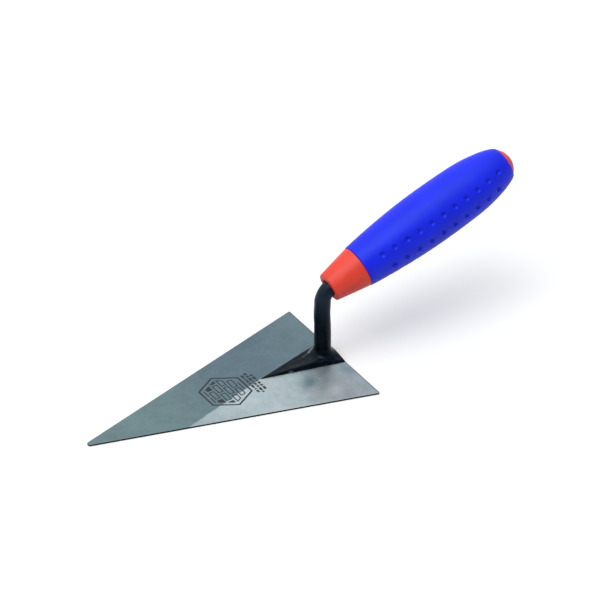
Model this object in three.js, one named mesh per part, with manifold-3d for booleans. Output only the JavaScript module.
// Brick trowel: flat triangular steel blade, forged gooseneck shank with a
// spearhead foot, and a two-component moulded handle with a butt cap.
//
// Units are millimetres, +Z is up. The origin lies on the underside of the
// blade, straight under the axis of the neck. -X points to the blade's tip,
// +X to the butt of the handle. The tool is symmetric about the XZ plane.

import * as THREE from 'three';
import { mergeVertices } from 'three/addons/utils/BufferGeometryUtils.js';
import { ConvexGeometry } from 'three/addons/geometries/ConvexGeometry.js';
import Module from 'manifold-3d';

// ---------------------------------------------------------------- dimensions

// Blade
const BLADE_T = 1.25;          // sheet thickness
const BLADE_BACK_X = 8.4;      // back edge
const BLADE_APEX_X = -176.4;   // where the two straight sides would meet
const BLADE_HALF_W = 51.65;    // half width at the back edge
const BLADE_TIP_R = 1.8;       // rounding of the tip
const BLADE_CORNER_R = 0.7;    // rounding of the two back corners

// Shank: foot
const FOOT_TIP_X = -46.6;
const FOOT_HALF_W = 13.0;      // at the back edge
const FOOT_H_TIP = 0.8;        // height above the blade at the tip
const FOOT_H_NECK = 3.7;       // height above the blade in front of the neck
const FOOT_H_BACK = 2.2;       // height above the blade at the back edge

// Shank: neck, bend and tang
const NECK_R = 5.08;
const FLARE_R = 8.25;          // foot of the fillet round the neck
const CORNER_Z = 49.65;        // where the neck axis meets the handle axis
const BEND_R = 10.0;           // centreline radius of the bend
const TANG_END = 60.0;         // along the handle axis, from the collar's face
const TANG_R0 = 4.7;
const TANG_R1 = 3.3;
const TANG_BARBS = 6;
const BARB_H = 0.4;

// Handle (s runs along the handle axis from the collar's front face)
const HANDLE_TILT = 19.5;      // degrees above the horizontal
const HANDLE_START = 4.3;      // front face, past the corner of the two axes
const COLLAR_R0 = 9.36;        // cone: r = COLLAR_R0 + COLLAR_SLOPE * s
const COLLAR_SLOPE = 0.19;
const COLLAR_END = 22.95;      // rear shoulder of the collar
const GAP = 0.3;               // parting gap between the moulded pieces
const CORE_END = 116.8;        // rear rim of the hollow core
const SOCKET_CLEAR = 0.4;
const SOCKET_END = 62.0;
const CAVITY_START = 65.8;
const CAVITY_R = 11.1;
const SPIGOT_START = 109.1;    // the butt cap's spigot, inside the core
const SPIGOT_R = 10.8;
const CAP_NECK = 132.8;        // where the cap narrows to the visible button
const BUTTON_R = 9.3;
const DOME_START = 137.1;
const BUTT_END = 141.3;

// Grip outline, [s, r]
const GRIP = [
  [23.25, 13.62], [23.7, 14.05], [30.8, 14.96], [39.3, 15.87], [47.8, 16.61],
  [56.3, 17.21], [64.8, 17.66], [72.8, 17.9], [80.8, 17.98], [89.8, 17.93],
  [97.8, 17.75], [104.8, 17.5], [110.8, 17.08], [113.4, 16.82], [115.8, 16.5],
  [118.3, 16.1], [120.8, 15.64], [123.0, 15.19], [125.2, 14.72], [127.0, 14.28],
  [128.8, 13.8], [130.5, 13.27], [132.2, 12.65], [133.5, 12.15], [134.8, 11.55],
  [136.4, 10.5], [136.9, 9.95],
];
// Outline of the core under the grip, [s, r]
const CORE = [
  [COLLAR_END, 11.1], [30.8, 12.05], [40.8, 13.1], [51.8, 14.02], [64.8, 14.75],
  [80.8, 15.05], [95.8, 14.85], [106.8, 14.35], [CORE_END, 13.25],
];
// Outline of the butt cap under the grip, [s, r]
const CAP = [
  [CORE_END + GAP, 13.2], [122.8, 12.1], [127.8, 10.95], [CAP_NECK, BUTTON_R],
];

const ROUND = 36;              // facets round the handle
const SHANK_ROUND = 24;        // facets round the shank

// ------------------------------------------------------------------- helpers

const wasm = await Module();
wasm.setup();

// Keep positions only, share vertices, drop collapsed triangles, face outward.
function tidy(geometry) {
  const g = geometry.clone();
  g.deleteAttribute('normal');
  g.deleteAttribute('uv');
  const m = mergeVertices(g, 1e-4);
  const p = m.attributes.position;
  const idx = m.index.array;
  const tris = [];
  let volume = 0;
  const a = new THREE.Vector3();
  const b = new THREE.Vector3();
  const c = new THREE.Vector3();
  for (let i = 0; i < idx.length; i += 3) {
    const [i0, i1, i2] = [idx[i], idx[i + 1], idx[i + 2]];
    if (i0 === i1 || i1 === i2 || i2 === i0) continue;
    a.fromBufferAttribute(p, i0);
    b.fromBufferAttribute(p, i1);
    c.fromBufferAttribute(p, i2);
    volume += a.dot(b.clone().cross(c)) / 6;
    tris.push(i0, i1, i2);
  }
  if (volume < 0) {
    for (let i = 0; i < tris.length; i += 3) {
      [tris[i + 1], tris[i + 2]] = [tris[i + 2], tris[i + 1]];
    }
  }
  const out = new THREE.BufferGeometry();
  out.setAttribute('position', new THREE.BufferAttribute(new Float32Array(p.array), 3));
  out.setIndex(tris);
  return out;
}

function toManifold(geometry) {
  const g = tidy(geometry);
  return new wasm.Manifold(new wasm.Mesh({
    numProp: 3,
    vertProperties: new Float32Array(g.attributes.position.array),
    triVerts: new Uint32Array(g.index.array),
  }));
}

function fromManifold(manifold) {
  const mesh = manifold.getMesh();
  const g = new THREE.BufferGeometry();
  g.setAttribute('position', new THREE.BufferAttribute(new Float32Array(mesh.vertProperties), 3));
  g.setIndex(Array.from(mesh.triVerts));
  g.computeVertexNormals();
  return g;
}

function lathe(points, segments) {
  const profile = points.map(([s, r]) => new THREE.Vector2(r, s));
  const g = tidy(new THREE.LatheGeometry(profile, segments));
  g.computeVertexNormals();
  return g;
}

// Frame of the handle: local Y runs along the handle, local Z is its top side.
const tilt = THREE.MathUtils.degToRad(HANDLE_TILT);
const along = new THREE.Vector3(Math.cos(tilt), 0, Math.sin(tilt));
const topward = new THREE.Vector3(-Math.sin(tilt), 0, Math.cos(tilt));
const sideways = new THREE.Vector3(0, -1, 0);
const corner = new THREE.Vector3(0, 0, CORNER_Z);
const handleStart = corner.clone().addScaledVector(along, HANDLE_START);
const handleMatrix = new THREE.Matrix4().makeBasis(sideways, along, topward);
const handleTurn = new THREE.Quaternion().setFromRotationMatrix(handleMatrix);
handleMatrix.setPosition(handleStart);

// --------------------------------------------------------------------- blade

function bladeGeometry() {
  const half = Math.atan2(BLADE_HALF_W, BLADE_BACK_X - BLADE_APEX_X);
  const shape = new THREE.Shape();
  // rounded tip
  const cx = BLADE_APEX_X + BLADE_TIP_R / Math.sin(half);
  const from = Math.PI / 2 + half;
  const to = (3 * Math.PI) / 2 - half;
  shape.moveTo(cx + BLADE_TIP_R * Math.cos(from), BLADE_TIP_R * Math.sin(from));
  shape.absarc(cx, 0, BLADE_TIP_R, from, to, false);
  // rounded back corners
  const turn = Math.PI / 2 + half;                 // change of direction at a corner
  const reach = BLADE_CORNER_R * Math.tan(turn / 2);
  const ky = BLADE_HALF_W - reach;
  const kx = BLADE_BACK_X - BLADE_CORNER_R;
  shape.absarc(kx, -ky, BLADE_CORNER_R, -Math.PI / 2 - half, 0, false);
  shape.absarc(kx, ky, BLADE_CORNER_R, 0, Math.PI / 2 + half, false);
  shape.closePath();
  const g = tidy(new THREE.ExtrudeGeometry(shape, {
    depth: BLADE_T, bevelEnabled: false, curveSegments: 8,
  }));
  g.computeVertexNormals();
  return g;
}

// --------------------------------------------------------------------- shank

// Centreline: up the neck, round the bend, into the handle.
class ShankLine extends THREE.Curve {
  constructor(z0, straightIn) {
    super();
    this.angle = Math.PI / 2 - tilt;
    this.tangent = BEND_R * Math.tan(this.angle / 2);
    this.z0 = z0;
    this.l0 = CORNER_Z - this.tangent - z0;
    this.l1 = BEND_R * this.angle;
    this.l2 = straightIn;
  }

  getPoint(t, target = new THREE.Vector3()) {
    const d = t * (this.l0 + this.l1 + this.l2);
    if (d <= this.l0) return target.set(0, 0, this.z0 + d);
    if (d <= this.l0 + this.l1) {
      const a = (d - this.l0) / BEND_R;
      return target.set(BEND_R * (1 - Math.cos(a)), 0,
        this.z0 + this.l0 + BEND_R * Math.sin(a));
    }
    return target.copy(corner).addScaledVector(along, this.tangent + d - this.l0 - this.l1);
  }
}

function circleShape(r, sides) {
  const s = new THREE.Shape();
  for (let i = 0; i < sides; i++) {
    const a = (2 * Math.PI * i) / sides;
    const [x, y] = [r * Math.cos(a), r * Math.sin(a)];
    if (i === 0) s.moveTo(x, y); else s.lineTo(x, y);
  }
  s.closePath();
  return s;
}

function shankGeometry() {
  // spearhead foot: flat underside, sloping sides, low at the tip and the back
  const z = BLADE_T;
  const halfAt = (x) => (FOOT_HALF_W * (x - FOOT_TIP_X)) / (BLADE_BACK_X - FOOT_TIP_X);
  const pts = [];
  const put = (x, y, h) => {
    pts.push(new THREE.Vector3(x, y, z + h));
    if (y !== 0) pts.push(new THREE.Vector3(x, -y, z + h));
  };
  put(FOOT_TIP_X, 0, 0);
  put(FOOT_TIP_X + 0.9, 0, FOOT_H_TIP);
  put(BLADE_BACK_X, FOOT_HALF_W, 0);
  put(BLADE_BACK_X, FOOT_HALF_W - 0.5, 0.35);
  put(-26, halfAt(-26) - 1.2, 2.2);
  put(-6, halfAt(-6) - 2.0, FOOT_H_NECK - 0.15);
  put(1, halfAt(1) - 2.3, FOOT_H_NECK - 0.35);
  put(-6, 3.5, FOOT_H_NECK);
  put(3, 3.5, FOOT_H_NECK);
  put(BLADE_BACK_X, 5.5, FOOT_H_BACK);
  const foot = toManifold(new ConvexGeometry(pts));

  // fillet between the neck and the foot
  const fillet = [[z + 1.6, 0], [z + 1.6, FLARE_R], [z + 2.1, FLARE_R]];
  const rise = 5.2;
  for (let i = 0; i <= 6; i++) {
    const a = (Math.PI / 2) * (i / 6);
    fillet.push([z + 2.6 + rise * (1 - Math.cos(a)),
      NECK_R + 0.04 + (FLARE_R - NECK_R - 0.04) * (1 - Math.sin(a))]);
  }
  fillet.push([z + 2.6 + rise + 2.5, NECK_R - 0.15], [z + 2.6 + rise + 2.5, 0]);
  const flareGeometry = lathe(fillet, SHANK_ROUND);
  flareGeometry.rotateX(Math.PI / 2);              // lathe axis Y -> Z
  const flare = toManifold(flareGeometry);

  // neck and bend
  const line = new ShankLine(z + 1.2, 2.4);
  const neck = toManifold(new THREE.ExtrudeGeometry(circleShape(NECK_R, SHANK_ROUND), {
    steps: 22, bevelEnabled: false, extrudePath: line,
  }));

  // tapered, barbed tang inside the handle
  const start = line.tangent - HANDLE_START + 1.0;
  const barb = [[start, 0], [start, TANG_R0 - 0.1]];
  const barbFrom = 10;
  const rAt = (s) => TANG_R0 + ((TANG_R1 - TANG_R0) * (s - start)) / (TANG_END - start);
  barb.push([barbFrom, rAt(barbFrom)]);
  const pitch = (TANG_END - 6 - barbFrom) / TANG_BARBS;
  for (let i = 0; i < TANG_BARBS; i++) {
    const s = barbFrom + i * pitch;
    barb.push([s + 0.9, rAt(s + 0.9) - BARB_H], [s + pitch, rAt(s + pitch)]);
  }
  barb.push([TANG_END - 2, TANG_R1 - 0.3], [TANG_END, 1.4], [TANG_END, 0]);
  const tangGeometry = lathe(barb, SHANK_ROUND);
  tangGeometry.applyMatrix4(handleMatrix);
  const tang = toManifold(tangGeometry);

  return fromManifold(foot.add(flare).add(neck).add(tang));
}

// -------------------------------------------------------------------- handle

function coreGeometry() {
  const front = COLLAR_R0 + COLLAR_SLOPE * 0.9;
  const profile = [
    [SOCKET_END, 0],
    [SOCKET_END, TANG_R1 + SOCKET_CLEAR],
    [10, TANG_R0 + SOCKET_CLEAR],
    [6.2, NECK_R + SOCKET_CLEAR],
    [3.6, NECK_R + SOCKET_CLEAR],
    [3.0, NECK_R + SOCKET_CLEAR + 0.5],
    [0, NECK_R + SOCKET_CLEAR + 0.5],
    [0, front - 1.0],
    [0.26, front - 0.35],
    [0.9, front],
    [COLLAR_END, COLLAR_R0 + COLLAR_SLOPE * COLLAR_END],
    ...CORE,
    [CORE_END, CAVITY_R],
    [CAVITY_START + 1.0, CAVITY_R - 0.3],
    [CAVITY_START, CAVITY_R - 1.3],
    [CAVITY_START, 0],
  ];
  return lathe(profile, ROUND);
}

function gripGeometry() {
  const inner = [...CORE, ...CAP.slice(1)].map(([s, r]) => [s, r + GAP + 0.03]).reverse();
  inner[inner.length - 1] = [COLLAR_END + GAP, CORE[0][1] + GAP + 0.05];
  const profile = [
    ...GRIP,
    [136.9, BUTTON_R + GAP + 0.03],
    ...inner,
    GRIP[0],
  ];
  return lathe(profile, ROUND);
}

// Hollow cap: a spigot in the core, a shoulder under the grip and the domed
// button that shows at the butt. It is open towards the core.
function capGeometry() {
  const h = BUTT_END - DOME_START;
  const R = (BUTTON_R * BUTTON_R + h * h) / (2 * h);
  const centre = BUTT_END - R;
  const a0 = Math.asin(BUTTON_R / R);
  const profile = [
    [138.7, 0], [138.1, 3.4], [136.0, 5.6], [131.2, 6.6], [126.4, 8.7],
    [121.4, 9.2], [SPIGOT_START, 9.2],
    [SPIGOT_START, SPIGOT_R - 0.5], [SPIGOT_START + 0.8, SPIGOT_R],
    [CORE_END + GAP, SPIGOT_R],
    ...CAP,
  ];
  for (let i = 0; i <= 7; i++) {
    const a = a0 * (1 - i / 7);
    profile.push([centre + R * Math.cos(a), i === 7 ? 0 : R * Math.sin(a)]);
  }
  return lathe(profile, ROUND);
}

// ------------------------------------------------------------------ assembly

const steel = new THREE.MeshStandardMaterial({ color: 0x9fb0b8, roughness: 0.3, metalness: 1.0 });
const enamel = new THREE.MeshStandardMaterial({ color: 0x141a1f, roughness: 0.35, metalness: 0.0 });
const orange = new THREE.MeshStandardMaterial({ color: 0xee6045, roughness: 0.45, metalness: 0.0 });
const orangeCap = new THREE.MeshStandardMaterial({ color: 0xee6045, roughness: 0.45, metalness: 0.0 });
const blue = new THREE.MeshStandardMaterial({ color: 0x2028d8, roughness: 0.55, metalness: 0.0 });

function piece(name, geometry, material) {
  const mesh = new THREE.Mesh(geometry, material);
  mesh.name = name;
  return mesh;
}

const trowel = new THREE.Group();
trowel.name = 'brick_trowel';

trowel.add(piece('blade', bladeGeometry(), steel));
trowel.add(piece('shank', shankGeometry(), enamel));

const handle = new THREE.Group();
handle.name = 'handle';
handle.position.copy(handleStart);
handle.quaternion.copy(handleTurn);
handle.add(piece('handle_core', coreGeometry(), orange));
handle.add(piece('grip_sleeve', gripGeometry(), blue));
handle.add(piece('butt_cap', capGeometry(), orangeCap));
trowel.add(handle);

export default trowel;
